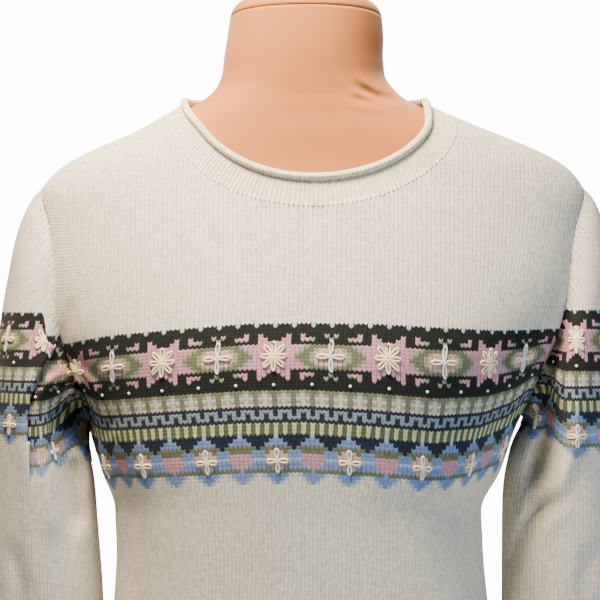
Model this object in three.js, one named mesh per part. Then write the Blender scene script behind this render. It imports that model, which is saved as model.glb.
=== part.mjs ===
// A knitted jumper with a rolled neck edge, worn on a limbless dress form.
// Millimetres, +Z up, the front faces -Y, and the origin is on the floor under the form.
// Heights on the garment are given as drops below the neck point, where the shoulder seam meets the neck.
import * as THREE from "three";

const NECK_POINT = 720; // height of the neck point above the floor
const CLOTH = 2.5; // wall of the knitted cloth
const SEAM = 0.3; // gap that parts two sewn pieces
const ROUNDNESS = 2.3; // exponent of the superellipse that every torso section is
const TURN = Math.PI * 2;

const HEM_DROP = 580; // lower edge of the hem rib
const HEM_RIB = 58; // height of the hem rib
const CUFF_RIB = 60; // length of the cuff
const RIB_RISE = 0.5; // how far a rib stands above the hollow beside it
const NECK_RIBS = 188;
const NECK_EASE = { foot: 0.25, head: 1 }; // extra room where the neckband meets the panels and the roll
const HEM_RIBS = 70;
const CUFF_RIBS = 20;

const ARMPIT_DROP = 240;
const SHOULDER_DROP = 64; // drop of the shoulder point, where the shoulder seam meets the sleeve
const ARMHOLE_DEPTH = { front: 46, back: 50 };

// Curves round the neck: half its width, its drop at the shoulder seam, and how much lower it dips at each middle.
const NECKLINE = { half: 109, side: 9.6, front: 73, back: 8.5 }; // sewn edge of the neckband
const ROLL_LINE = { half: 92, side: 0, front: 62, back: -2 }; // middle of the rolled edge
const ROLL_RADIUS = 3;

// Sections of the worn body, from the neck down. shift is how far the section sits to +X.
const BODY_SECTIONS = [
  { drop: -6, half: 82, front: 59, back: 54, shift: -1 },
  { drop: 0, half: 92, front: 60, back: 55, shift: -1 },
  { drop: 9.6, half: 109, front: 61, back: 56, shift: 1 },
  { drop: 25, half: 141, front: 64, back: 60, shift: 6 },
  { drop: 36, half: 168, front: 66, back: 63, shift: 6.6 },
  { drop: 48, half: 191, front: 69, back: 67, shift: 6.5 },
  { drop: 64, half: 207, front: 73, back: 73, shift: 5.4 },
  { drop: 90, half: 213, front: 81, back: 81, shift: 5 },
  { drop: 147, half: 208, front: 100, back: 92, shift: 4 },
  { drop: 180, half: 198, front: 109, back: 94, shift: 2 },
  { drop: 209, half: 183, front: 112, back: 92, shift: 0 },
  { drop: 240, half: 168, front: 112, back: 89, shift: -2 },
  { drop: 262, half: 161, front: 110.5, back: 87, shift: -4 },
  { drop: 283, half: 154, front: 108.5, back: 85, shift: -4 },
  { drop: 314, half: 141, front: 106, back: 83, shift: -6 },
  { drop: 339, half: 141, front: 105, back: 82, shift: -5 },
  { drop: 385, half: 144, front: 104, back: 85, shift: -4 },
  { drop: 450, half: 152, front: 106, back: 94, shift: -2 },
  { drop: 520, half: 159, front: 109, back: 103, shift: 0 },
  { drop: 580, half: 162, front: 111, back: 106, shift: 0 },
];

// Sections of the sleeve by the distance along it: its outer and inner edge seen from the front, and half its depth.
const SLEEVE_SECTIONS = [
  { path: 0, outX: 208, outDrop: 64, inX: 167, inDrop: 240, depth: 48 },
  { path: 12, outX: 216, outDrop: 73, inX: 168, inDrop: 243, depth: 51 },
  { path: 35, outX: 226, outDrop: 96, inX: 168, inDrop: 247, depth: 55 },
  { path: 70, outX: 234, outDrop: 137, inX: 167, inDrop: 255, depth: 59 },
  { path: 110, outX: 241, outDrop: 188, inX: 165, inDrop: 268, depth: 61 },
  { path: 160, outX: 246, outDrop: 250, inX: 160, inDrop: 294, depth: 60 },
  { path: 220, outX: 249, outDrop: 317, inX: 159, inDrop: 338, depth: 57 },
  { path: 280, outX: 250, outDrop: 378, inX: 159, inDrop: 387, depth: 53 },
  { path: 340, outX: 249, outDrop: 437, inX: 162, inDrop: 441, depth: 48 },
  { path: 400, outX: 245, outDrop: 496, inX: 167, inDrop: 498, depth: 42 },
  { path: 467, outX: 240, outDrop: 562, inX: 173, inDrop: 562, depth: 34 },
  { path: 527, outX: 238, outDrop: 622, inX: 176, inDrop: 622, depth: 31 },
];
const SLEEVE_END = 467; // where the cuff is sewn on

// How each sleeve hangs away from the table. The wearer's left sleeve is at +X, and the right one at -X.
const SLEEVE_SHIFT = 5; // both sit this far to +X, as the shoulders do
const SIDES = {
  left: { sign: 1, outer: -4, upper: -12, lower: -12 },
  right: { sign: -1, outer: 2, upper: 9, lower: 3 },
};

// Soft folds. angle is round the section, and depth is how far the cloth sinks in, or stands out where negative.
const BODY_FOLDS = [
  { angle: 152, drop: 300, wide: 9, long: 60, depth: 4, lean: 0.03 },
  { angle: 30, drop: 310, wide: 9, long: 70, depth: 4, lean: -0.03 },
  { angle: 62, drop: 470, wide: 10, long: 90, depth: 3, lean: 0 },
  { angle: 124, drop: 480, wide: 11, long: 80, depth: 3, lean: 0.02 },
  { angle: 215, drop: 320, wide: 12, long: 80, depth: 5, lean: 0 },
  { angle: 322, drop: 330, wide: 12, long: 80, depth: 5, lean: 0 },
  { angle: 270, drop: 400, wide: 14, long: 110, depth: 4, lean: 0 },
];
const SLEEVE_FOLDS = {
  left: [
    { angle: 132, path: 130, wide: 20, long: 75, depth: 11, lean: -0.1 },
    { angle: 70, path: 330, wide: 22, long: 90, depth: 4, lean: 0.05 },
    { angle: 225, path: 140, wide: 24, long: 80, depth: 9, lean: 0 },
  ],
  right: [
    { angle: 128, path: 120, wide: 20, long: 80, depth: 12, lean: 0 },
    { angle: 80, path: 320, wide: 22, long: 90, depth: 4, lean: 0 },
    { angle: 230, path: 150, wide: 24, long: 80, depth: 9, lean: 0 },
  ],
};

// Sections of the dress form, under the cloth.
const FORM_SECTIONS = [
  { drop: -63, half: 59, front: 54, back: 44, shift: 0 },
  { drop: -50, half: 60.5, front: 55, back: 45, shift: -0.5 },
  { drop: -30, half: 62, front: 56, back: 46, shift: -2 },
  { drop: -18, half: 64, front: 56, back: 46.5, shift: -2 },
  { drop: -8, half: 70.5, front: 56, back: 47, shift: -1 },
  { drop: -2, half: 77.5, front: 56, back: 47.5, shift: -1 },
  { drop: 4, half: 88, front: 56.5, back: 48.5, shift: 0 },
  { drop: 12, half: 105, front: 57, back: 50, shift: 1 },
  { drop: 28, half: 139.5, front: 59, back: 56, shift: 6 },
  { drop: 39, half: 165.5, front: 60, back: 60, shift: 6.6 },
  { drop: 51, half: 187, front: 61.5, back: 63, shift: 6.5 },
  { drop: 66, half: 197, front: 65, back: 67, shift: 5.4 },
  { drop: 84, half: 203, front: 73, back: 74, shift: 5 },
  { drop: 112, half: 204, front: 82, back: 81, shift: 4.5 },
  { drop: 147, half: 196, front: 93, back: 86, shift: 4 },
  { drop: 180, half: 181, front: 101, back: 87, shift: 2 },
  { drop: 209, half: 166, front: 103, back: 84, shift: 0 },
  { drop: 240, half: 152, front: 101, back: 80, shift: -2 },
  { drop: 300, half: 134, front: 94, back: 72, shift: -5 },
  { drop: 350, half: 127, front: 90, back: 71, shift: -5 },
  { drop: 430, half: 138, front: 93, back: 82, shift: -2 },
  { drop: 520, half: 147, front: 97, back: 93, shift: 0 },
  { drop: 600, half: 150, front: 98, back: 95, shift: 0 },
  { drop: 720, half: 147, front: 96, back: 93, shift: 0 },
];
const NECK_CAP = [
  { drop: -63.3, inset: 0 },
  { drop: -69, inset: 1.6 },
  { drop: -73, inset: 5 },
  { drop: -75.5, inset: 10 },
];

const NECK_TILT = 0.1; // the neck's top rises towards the front by this share of the distance

const COLUMNS = 24; // across each body panel
const BODY_ROWS = 7; // from the hem rib to the armpit
const ARMHOLE_ROWS = 11; // from the armpit to the shoulder point
const SHOULDER_ROWS = 3; // from the shoulder point to the neck
const SLEEVE_RINGS = 15;
const ELBOW_RING = 8; // the ring that divides a sleeve's upper and lower lengths
const FORM_SIDES = 32;
const ROLL_STEPS = 56;
const ROLL_SIDES = 6;

const radians = THREE.MathUtils.degToRad;
const power = (value, exponent) => Math.sign(value) * Math.abs(value) ** exponent;

// Reads a table as smooth curves: every column of rows as a function of the one named key.
function smooth(rows, key) {
  const columns = Object.keys(rows[0]);
  const at = rows.map((row) => row[key]);
  const slopes = columns.map((column) => {
    const rise = rows.slice(1).map((row, i) => (row[column] - rows[i][column]) / (at[i + 1] - at[i]));
    return rows.map((_, i) => {
      if (i === 0) return rise[0];
      if (i === rows.length - 1) return rise[i - 1];
      if (rise[i - 1] * rise[i] <= 0) return 0;
      const before = at[i] - at[i - 1];
      const after = at[i + 1] - at[i];
      return (after * rise[i - 1] + before * rise[i]) / (before + after);
    });
  });
  return (value) => {
    const clamped = Math.min(Math.max(value, at[0]), at[at.length - 1]);
    let i = 0;
    while (i < at.length - 2 && clamped > at[i + 1]) i += 1;
    const span = at[i + 1] - at[i];
    const t = (clamped - at[i]) / span;
    const made = {};
    columns.forEach((column, c) => {
      const [from, to] = [rows[i][column], rows[i + 1][column]];
      made[column] =
        from * (1 + 2 * t) * (1 - t) ** 2 +
        to * t * t * (3 - 2 * t) +
        span * (slopes[c][i] * t * (1 - t) ** 2 - slopes[c][i + 1] * t * t * (1 - t));
    });
    return made;
  };
}

const bodySection = smooth(BODY_SECTIONS, "drop");
const formSection = smooth(FORM_SECTIONS, "drop");
const sleeveSection = smooth(SLEEVE_SECTIONS, "path");

// A point of a torso section. Angle 0 is the +X side, a quarter turn is the front, and three quarters the back.
function sectionPoint(section, angle, drop) {
  const [c, s] = [Math.cos(angle), Math.sin(angle)];
  const depth = s > 0 ? section.front : section.back;
  return new THREE.Vector3(
    section.shift + section.half * power(c, 2 / ROUNDNESS),
    -depth * power(s, 2 / ROUNDNESS),
    NECK_POINT - drop,
  );
}

// How far the folds of a table sink the cloth at one place. round is 360 degrees, and at runs along the cloth.
function foldDepth(folds, key, angle, at) {
  let sum = 0;
  for (const fold of folds) {
    const along = at - fold[key];
    let across = THREE.MathUtils.radToDeg(angle) - fold.angle - fold.lean * along;
    across -= 360 * Math.round(across / 360);
    sum += fold.depth * Math.exp(-((across / fold.wide) ** 2) - (along / fold.long) ** 2);
  }
  return sum;
}

// The normal of a surface given as a function of two numbers, facing away from its axis.
function surfaceNormal(surface, u, v, stepU, stepV) {
  const across = surface(u + stepU, v).sub(surface(u - stepU, v));
  const along = surface(u, v + stepV).sub(surface(u, v - stepV));
  return across.cross(along).normalize();
}

const plainBody = (angle, drop) => sectionPoint(bodySection(drop), angle, drop);
const bodyNormal = (angle, drop) => surfaceNormal(plainBody, angle, drop, 0.02, 1);

// The outer face of the worn body, with its folds, moved in by inset.
function bodyPoint(angle, drop, inset = 0) {
  const sunk = inset + foldDepth(BODY_FOLDS, "drop", angle, drop);
  return plainBody(angle, drop).addScaledVector(bodyNormal(angle, drop), -sunk);
}

// The angle of the armhole's edge at a step of its round: 0 at the shoulder point, half a turn at the armpit.
function armhole(step, face) {
  const middle = (ARMPIT_DROP + SHOULDER_DROP) / 2;
  const reach = (ARMPIT_DROP - SHOULDER_DROP) / 2;
  const drop = middle - reach * Math.cos(step);
  const depth = ARMHOLE_DEPTH[face] * Math.abs(Math.sin(step));
  const angle = Math.asin((depth / bodySection(drop)[face]) ** (ROUNDNESS / 2));
  return { drop, angle };
}

// A curve round the neck, on the body's surface. round is 0 at the +X shoulder seam and a quarter turn in front.
function neckCurve(curve, round) {
  const face = Math.sin(round) > 0 ? "front" : "back";
  const drop = curve.side + curve[face] * Math.abs(Math.sin(round));
  const across = Math.min(1, Math.abs((curve.half * Math.cos(round)) / bodySection(drop).half));
  const level = Math.acos(across ** (ROUNDNESS / 2));
  const angle = Math.cos(round) < 0 ? Math.PI - level : level;
  return { drop, angle: face === "front" ? angle : -angle };
}

// The sewn edge of the neck at a column of a panel, from -1 at one shoulder seam to 1 at the other.
function neckline(column, face) {
  const round = (Math.PI / 2) * (1 - Math.abs(column));
  const { drop, angle } = neckCurve(NECKLINE, face === "front" ? round : -round);
  return { drop, angle: Math.abs(angle) };
}

// The rows of a body panel: how far down each one's ends lie, and the angle of its ends.
function panelRows(face) {
  const rows = [];
  for (let i = 0; i < BODY_ROWS; i += 1)
    rows.push({ drop: THREE.MathUtils.lerp(HEM_DROP - HEM_RIB, ARMPIT_DROP, i / BODY_ROWS), angle: 0 });
  for (let i = 0; i <= ARMHOLE_ROWS; i += 1) rows.push(armhole(Math.PI * (1 - i / ARMHOLE_ROWS), face));
  for (let i = 1; i <= SHOULDER_ROWS; i += 1)
    rows.push({ drop: THREE.MathUtils.lerp(SHOULDER_DROP, NECKLINE.side, i / SHOULDER_ROWS), angle: 0 });
  return rows;
}

// Where a column of a panel crosses a row, as an angle and a drop.
function panelPlace(row, column, face) {
  const top = neckline(column, face);
  const raised = Math.max(0, (ARMPIT_DROP - row.drop) / (ARMPIT_DROP - NECKLINE.side));
  const drop = raised > 0 ? ARMPIT_DROP - raised * (ARMPIT_DROP - top.drop) : row.drop;
  const plain = (Math.PI / 2) * (1 - Math.abs(column));
  const level = plain + row.angle * Math.abs(column);
  const angle = level + (top.angle - plain) * raised ** 3;
  return { drop, angle: column < 0 ? Math.PI - angle : angle };
}

// The two faces of a body panel as grids of points.
function panelGrids(face) {
  const turn = face === "front" ? 1 : -1;
  const edge = (-turn * SEAM) / 2;
  const grid = (inset) =>
    panelRows(face).map((row) =>
      Array.from({ length: COLUMNS + 1 }, (_, i) => {
        const column = Math.sin(Math.PI * (i / COLUMNS - 0.5));
        const place = panelPlace(row, column, face);
        const point = bodyPoint(turn * place.angle, place.drop, inset);
        if (Math.abs(point.y) < SEAM / 2) point.y = edge;
        return point;
      }),
    );
  return { outer: grid(0), inner: grid(CLOTH) };
}

// A closed wall between two grids of points. A wrapped grid closes on itself sideways, as a tube does.
function wall({ outer, inner }, wrapped) {
  const rows = outer.length;
  const width = outer[0].length;
  const points = [...outer.flat(), ...inner.flat()];
  const faces = [];
  const quad = (a, b, c, d) => faces.push(a, b, c, a, c, d);
  const at = (row, column) => row * width + (column % width);
  const behind = rows * width;
  const last = wrapped ? width : width - 1;
  for (let column = 0; column < last; column += 1) {
    for (let row = 0; row < rows - 1; row += 1) {
      const [a, b] = [at(row, column), at(row, column + 1)];
      const [c, d] = [at(row + 1, column + 1), at(row + 1, column)];
      quad(a, b, c, d);
      quad(behind + b, behind + a, behind + d, behind + c);
    }
    quad(behind + at(0, column), behind + at(0, column + 1), at(0, column + 1), at(0, column));
    const [p, q] = [at(rows - 1, column), at(rows - 1, column + 1)];
    quad(p, q, behind + q, behind + p);
  }
  if (!wrapped) {
    for (let row = 0; row < rows - 1; row += 1) {
      quad(behind + at(row, 0), at(row, 0), at(row + 1, 0), behind + at(row + 1, 0));
      const [p, q] = [at(row, width - 1), at(row + 1, width - 1)];
      quad(p, behind + p, behind + q, q);
    }
  }
  return facedOut(points, faces);
}

// Rings joined in order. The ends are filled, unless the rings close on themselves.
function skin(rings, closed) {
  const width = rings[0].length;
  const points = rings.flat();
  const faces = [];
  const joins = closed ? rings.length : rings.length - 1;
  for (let ring = 0; ring < joins; ring += 1) {
    const next = (ring + 1) % rings.length;
    for (let i = 0; i < width; i += 1) {
      const j = (i + 1) % width;
      const [a, b, c, d] = [ring * width + i, ring * width + j, next * width + j, next * width + i];
      faces.push(a, b, c, a, c, d);
    }
  }
  if (!closed) {
    const top = (rings.length - 1) * width;
    for (let i = 1; i < width - 1; i += 1) faces.push(0, i + 1, i, top, top + i, top + i + 1);
  }
  return facedOut(points, faces);
}

// A geometry from points and corners, with its faces turned outwards.
function facedOut(points, faces) {
  let volume = 0;
  for (let i = 0; i < faces.length; i += 3) {
    const [a, b, c] = [points[faces[i]], points[faces[i + 1]], points[faces[i + 2]]];
    volume += a.dot(b.clone().cross(c));
  }
  if (volume < 0) faces.reverse();
  const geometry = new THREE.BufferGeometry().setFromPoints(points);
  geometry.setIndex(faces);
  geometry.computeVertexNormals();
  return geometry;
}

// The sleeve before it is fitted to the armhole: a smooth tube through its sections.
function looseSleeve(side, path, step) {
  const section = sleeveSection(path);
  const { sign, outer, upper, lower } = SIDES[side];
  const settled = THREE.MathUtils.smoothstep(path, 0, 120);
  const inner = THREE.MathUtils.lerp(upper, lower, THREE.MathUtils.smoothstep(path, 160, 300));
  const high = new THREE.Vector3(section.outX + outer * settled, 0, section.outDrop);
  const low = new THREE.Vector3(section.inX + inner * settled, 0, section.inDrop);
  const place = low.lerp(high, (1 + Math.cos(step)) / 2);
  const x = sign * place.x + SLEEVE_SHIFT;
  return new THREE.Vector3(x, -section.depth * Math.sin(step), NECK_POINT - place.z);
}

// The armhole's edge on the body, as the sleeve meets it.
function armholeEdge(side, step, inset) {
  const face = Math.sin(step) >= 0 ? "front" : "back";
  const { drop, angle } = armhole(step, face);
  const facing = SIDES[side].sign > 0 ? angle : Math.PI - angle;
  return bodyPoint(face === "front" ? facing : -facing, drop, inset);
}

// The sleeve's outer face, which starts at the armhole's edge and eases into the loose tube.
function sleevePoint(side, path, step) {
  const fitted = armholeEdge(side, step, 0).sub(looseSleeve(side, 0, step));
  return looseSleeve(side, path, step).addScaledVector(fitted, Math.exp(-((path / 30) ** 2)));
}

function sleeveWallPoint(side, path, step, inset) {
  const { sign } = SIDES[side];
  const surface = (u, v) => sleevePoint(side, Math.max(0, v), u);
  const normal = surfaceNormal(surface, step, path, 0.02, 1).multiplyScalar(sign);
  const joined = armholeEdge(side, step, 1).sub(armholeEdge(side, step, 0)).negate();
  normal.lerp(joined, 1 - THREE.MathUtils.smoothstep(path, 0, 22)).normalize();
  const sunk = foldDepth(SLEEVE_FOLDS[side], "path", step, path) * THREE.MathUtils.smoothstep(path, 0, 40);
  return sleevePoint(side, path, step).addScaledVector(normal, -sunk - inset);
}

// The direction from the body's edge into the armhole, along the cloth and square to the seam.
function intoArmhole(side, step) {
  const along = armholeEdge(side, step + 0.1, 0).sub(armholeEdge(side, step - 0.1, 0));
  const outwards = armholeEdge(side, step, 0).sub(armholeEdge(side, step, CLOTH));
  return along.cross(outwards).multiplyScalar(-SIDES[side].sign).normalize();
}

// A sleeve is one tube of rings, in two lengths that meet above the elbow. The upper one starts at the armhole.
function sleeveGrids(side, length) {
  const steps = Array.from({ length: 2 * ARMHOLE_ROWS }, (_, i) => (Math.PI * i) / ARMHOLE_ROWS);
  const paths = Array.from({ length: SLEEVE_RINGS }, (_, i) => SLEEVE_END * ((i + 1) / SLEEVE_RINGS) ** 1.25);
  const above = paths.slice(0, ELBOW_RING);
  const below = [above.at(-1) + SEAM, ...paths.slice(ELBOW_RING)];
  const grid = (inset) => {
    const first = steps.map((step) => armholeEdge(side, step, inset).addScaledVector(intoArmhole(side, step), SEAM));
    const rings = (length === "upper" ? above : below).map((path) =>
      steps.map((step) => sleeveWallPoint(side, path, step, inset)),
    );
    return length === "upper" ? [first, ...rings] : rings;
  };
  return { outer: grid(0), inner: grid(CLOTH) };
}

// A ribbed tube: point gives a place on its outer face. Ribs are raised on the outside, and the inside is plain.
function ribbedGrids(ribs, rings, point) {
  const count = 2 * ribs;
  const grid = (inset, rise) =>
    rings.map((ring) =>
      Array.from({ length: count }, (_, i) => point((TURN * i) / count, ring, inset + (i % 2 ? rise : 0))),
    );
  return { outer: grid(0, RIB_RISE), inner: grid(CLOTH, 0) };
}

// The centreline of the rolled neck edge, which stands a little proud of the body's surface.
function rollPoint(round) {
  const { drop, angle } = neckCurve(ROLL_LINE, round);
  return bodyPoint(angle, drop, -ROLL_RADIUS / 4);
}

function rollRings() {
  return Array.from({ length: ROLL_STEPS }, (_, i) => {
    const round = (TURN * i) / ROLL_STEPS;
    const middle = rollPoint(round);
    const ahead = rollPoint(round + 0.01).sub(rollPoint(round - 0.01)).normalize();
    const side = ahead.clone().cross(new THREE.Vector3(0, 0, 1)).normalize();
    const up = side.clone().cross(ahead);
    return Array.from({ length: ROLL_SIDES }, (_, j) => {
      const turn = (TURN * j) / ROLL_SIDES;
      return middle
        .clone()
        .addScaledVector(side, ROLL_RADIUS * Math.cos(turn))
        .addScaledVector(up, ROLL_RADIUS * Math.sin(turn));
    });
  });
}

// The neckband stands between the panels' neck edge and the roll. ring is 0 at the edge and 1 at the roll.
function neckbandPoint(round, ring, inset) {
  const [foot, head] = [neckCurve(NECKLINE, round), neckCurve(ROLL_LINE, round)];
  const length = bodyPoint(foot.angle, foot.drop).distanceTo(bodyPoint(head.angle, head.drop));
  const from = (SEAM + NECK_EASE.foot) / length;
  const to = 1 - (ROLL_RADIUS + SEAM + NECK_EASE.head) / length;
  const t = from + ring * (to - from);
  const angle = THREE.MathUtils.lerp(foot.angle, head.angle, t);
  const drop = THREE.MathUtils.lerp(foot.drop, head.drop, t);
  return bodyPoint(angle, drop, inset);
}

// Rings of the dress form at the given drops, each drawn in by its own inset.
function formRings(drops, inset = () => 0) {
  return drops.map((drop, i) =>
    Array.from({ length: FORM_SIDES }, (_, j) => {
      const section = formSection(drop);
      for (const side of ["half", "front", "back"]) section[side] -= inset(i);
      const point = sectionPoint(section, (TURN * j) / FORM_SIDES, drop);
      point.z -= NECK_TILT * point.y * THREE.MathUtils.smoothstep(-drop, 15, 60);
      return point;
    }),
  );
}

const WOOL = new THREE.MeshStandardMaterial({ color: 0xd9d0c0, roughness: 0.95, metalness: 0 });
const BAND_WOOL = new THREE.MeshStandardMaterial({ color: 0xddd3c1, roughness: 0.95, metalness: 0 });
const JERSEY = new THREE.MeshStandardMaterial({ color: 0xe3ae89, roughness: 0.85, metalness: 0 });

function piece(name, geometry, material) {
  const mesh = new THREE.Mesh(geometry, material);
  mesh.name = name;
  return mesh;
}

const jumper = new THREE.Group();
jumper.add(piece("front", wall(panelGrids("front"), false), WOOL));
jumper.add(piece("back", wall(panelGrids("back"), false), WOOL));

for (const side of ["left", "right"]) {
  jumper.add(piece(`sleeve_${side}`, wall(sleeveGrids(side, "upper"), true), WOOL));
  jumper.add(piece(`forearm_${side}`, wall(sleeveGrids(side, "lower"), true), WOOL));
  const cuffRings = [SLEEVE_END + SEAM, SLEEVE_END + CUFF_RIB];
  const cuff = ribbedGrids(CUFF_RIBS, cuffRings, (step, path, inset) => sleeveWallPoint(side, path, step, inset));
  jumper.add(piece(`cuff_${side}`, wall(cuff, true), BAND_WOOL));
}

const hemRings = [HEM_DROP - HEM_RIB + SEAM, HEM_DROP];
const hem = ribbedGrids(HEM_RIBS, hemRings, (angle, drop, inset) => bodyPoint(angle, drop, inset));
jumper.add(piece("hem_rib", wall(hem, true), BAND_WOOL));
const neckband = ribbedGrids(NECK_RIBS, [0, 1], neckbandPoint);
jumper.add(piece("neckband", wall(neckband, true), BAND_WOOL));
jumper.add(piece("neck_roll", skin(rollRings(), true), BAND_WOOL));

const form = new THREE.Group();
const formDrops = FORM_SECTIONS.map((section) => section.drop).reverse();
form.add(piece("dress_form", skin(formRings(formDrops), false), JERSEY));
const capDrops = NECK_CAP.map((row) => row.drop);
form.add(piece("neck_cap", skin(formRings(capDrops, (i) => NECK_CAP[i].inset), false), JERSEY));

const whole = new THREE.Group();
whole.add(jumper, form);
const middle = new THREE.Box3().setFromObject(whole).getCenter(new THREE.Vector3());
whole.position.set(-middle.x, -middle.y, 0);

export default whole;
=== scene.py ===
# %% [markdown]
# # A fair isle jumper on a dress form
# The jumper is knitted wool: every stitch is a small V of yarn, and the stitches stand in upright columns
# that knitters call wales. We could paint that as a picture, but a mesh whose faces follow the stitches is
# sturdier: each leg of each V is one face, so the coloured band is worked just as a knitter works it, stitch
# by stitch from a chart.

# %% Load the frame
import math
from functools import partial

import bpy
import numpy as np
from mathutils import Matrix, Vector


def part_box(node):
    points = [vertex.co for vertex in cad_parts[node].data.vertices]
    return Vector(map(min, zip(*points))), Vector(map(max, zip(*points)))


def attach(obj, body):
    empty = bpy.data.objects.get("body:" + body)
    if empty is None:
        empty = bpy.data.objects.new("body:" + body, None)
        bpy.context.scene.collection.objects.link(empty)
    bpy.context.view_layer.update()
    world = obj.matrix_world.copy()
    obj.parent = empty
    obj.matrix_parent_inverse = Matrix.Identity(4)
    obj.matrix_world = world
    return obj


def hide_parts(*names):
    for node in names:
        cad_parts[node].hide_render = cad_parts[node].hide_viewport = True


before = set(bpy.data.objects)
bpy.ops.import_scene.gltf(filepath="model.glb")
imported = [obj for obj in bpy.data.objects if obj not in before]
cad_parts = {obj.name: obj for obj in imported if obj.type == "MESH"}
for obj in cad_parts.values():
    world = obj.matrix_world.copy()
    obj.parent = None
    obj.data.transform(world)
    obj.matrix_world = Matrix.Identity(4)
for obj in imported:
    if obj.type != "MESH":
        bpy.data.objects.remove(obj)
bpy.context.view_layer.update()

# %% [markdown]
# ## Sizes
# All garment sizes here are in millimetres, as a tailor writes them, and become metres only when a mesh is
# made. Heights are drops below the neck point, where the shoulder seam meets the neck. The tables are the
# same sections that the solid model is made from, so each fine surface lies on its solid.

# %% Driving sizes
MM = 0.001
NECK_POINT = 720
HEM_DROP = 580
HEM_RIB = 58
CUFF_RIB = 60
ROUNDNESS = 2.3
ARMPIT_DROP = 240
SHOULDER_DROP = 64
ARMHOLE_DEPTH = {"front": 46, "back": 50}
SLEEVE_END = 467
SLEEVE_SHIFT = 5
NECKLINE = {"half": 109, "side": 9.6, "front": 73, "back": 8.5}
ROLL_LINE = {"half": 92, "side": 0, "front": 62, "back": -2}
ROLL_RADIUS = 3
SIDES = {
    "left": {"sign": 1, "outer": -4, "upper": -12, "lower": -12},
    "right": {"sign": -1, "outer": 2, "upper": 9, "lower": 3},
}

BODY_SECTIONS = dict(
    drop=[-6, 0, 9.6, 25, 36, 48, 64, 90, 147, 180, 209, 240, 262, 283, 314, 339, 385, 450, 520, 580],
    half=[82, 92, 109, 141, 168, 191, 207, 213, 208, 198, 183, 168, 161, 154, 141, 141, 144, 152, 159, 162],
    front=[59, 60, 61, 64, 66, 69, 73, 81, 100, 109, 112, 112, 110.5, 108.5, 106, 105, 104, 106, 109, 111],
    back=[54, 55, 56, 60, 63, 67, 73, 81, 92, 94, 92, 89, 87, 85, 83, 82, 85, 94, 103, 106],
    shift=[-1, -1, 1, 6, 6.6, 6.5, 5.4, 5, 4, 2, 0, -2, -4, -4, -6, -5, -4, -2, 0, 0],
)
SLEEVE_SECTIONS = dict(
    path=[0, 12, 35, 70, 110, 160, 220, 280, 340, 400, 467, 527],
    out_x=[208, 216, 226, 234, 241, 246, 249, 250, 249, 245, 240, 238],
    out_drop=[64, 73, 96, 137, 188, 250, 317, 378, 437, 496, 562, 622],
    in_x=[167, 168, 168, 167, 165, 160, 159, 159, 162, 167, 173, 176],
    in_drop=[240, 243, 247, 255, 268, 294, 338, 387, 441, 498, 562, 622],
    depth=[48, 51, 55, 59, 61, 60, 57, 53, 48, 42, 34, 31],
)
FORM_SECTIONS = dict(
    drop=[-63, -50, -30, -18, -8, -2, 4, 12, 28, 39, 51, 66, 84, 112, 147, 180, 209, 240, 300, 350, 430, 520,
          600, 720],
    half=[59, 60.5, 62, 64, 70.5, 77.5, 88, 105, 139.5, 165.5, 187, 197, 203, 204, 196, 181, 166, 152, 134,
          127, 138, 147, 150, 147],
    front=[54, 55, 56, 56, 56, 56, 56.5, 57, 59, 60, 61.5, 65, 73, 82, 93, 101, 103, 101, 94, 90, 93, 97, 98,
           96],
    back=[44, 45, 46, 46.5, 47, 47.5, 48.5, 50, 56, 60, 63, 67, 74, 81, 86, 87, 84, 80, 72, 71, 82, 93, 95,
          93],
    shift=[0, -0.5, -2, -2, -1, -1, 0, 1, 6, 6.6, 6.5, 5.4, 5, 4.5, 4, 2, 0, -2, -5, -5, -2, 0, 0, 0],
)

# %% [markdown]
# ## Smooth curves through the tables
# A section table gives sizes at a few heights. Between them we want curves with no corners and no overshoot,
# so each column becomes a chain of cubic pieces whose slopes are limited by their neighbours. Blender has
# curve objects for this, but plain array maths is quicker when a hundred thousand points ask for a size.


# %% Tables as smooth functions
def smooth(table, key):
    """Turns a table into functions of its key column, one for each other column."""
    at = np.array(table[key], float)
    span = np.diff(at)
    made = {}
    for column, values in table.items():
        values = np.array(values, float)
        rise = np.diff(values) / span
        slope = np.zeros_like(values)
        slope[0], slope[-1] = rise[0], rise[-1]
        same = rise[:-1] * rise[1:] > 0
        blend = (span[1:] * rise[:-1] + span[:-1] * rise[1:]) / (span[1:] + span[:-1])
        slope[1:-1] = np.where(same, blend, 0)
        made[column] = (values, slope)

    def read(value):
        value = np.clip(np.asarray(value, float), at[0], at[-1])
        i = np.clip(np.searchsorted(at, value, side="left") - 1, 0, len(at) - 2)
        width = span[i]
        t = (value - at[i]) / width
        result = {}
        for column, (values, slope) in made.items():
            start, end = values[i], values[i + 1]
            curve = start * (1 + 2 * t) * (1 - t) ** 2 + end * t * t * (3 - 2 * t)
            result[column] = curve + width * (slope[i] * t * (1 - t) ** 2 - slope[i + 1] * t * t * (1 - t))
        return result

    return read


body_section = smooth(BODY_SECTIONS, "drop")
sleeve_section = smooth(SLEEVE_SECTIONS, "path")
form_section = smooth(FORM_SECTIONS, "drop")


def power(value, exponent):
    return np.sign(value) * np.abs(value) ** exponent


def smoothstep(value, start, end):
    t = np.clip((np.asarray(value, float) - start) / (end - start), 0, 1)
    return t * t * (3 - 2 * t)


def plateau(value, start, full, fall, end):
    """Rises from 0 to 1 between start and full, and falls back between fall and end."""
    return smoothstep(value, start, full) * (1 - smoothstep(value, fall, end))


def bell(value, width):
    return np.exp(-((value / width) ** 2))


def full_turn(count):
    return np.arange(count) * 2 * math.pi / count


def unit(vectors):
    return vectors / np.maximum(np.linalg.norm(vectors, axis=-1, keepdims=True), 1e-9)


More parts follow.
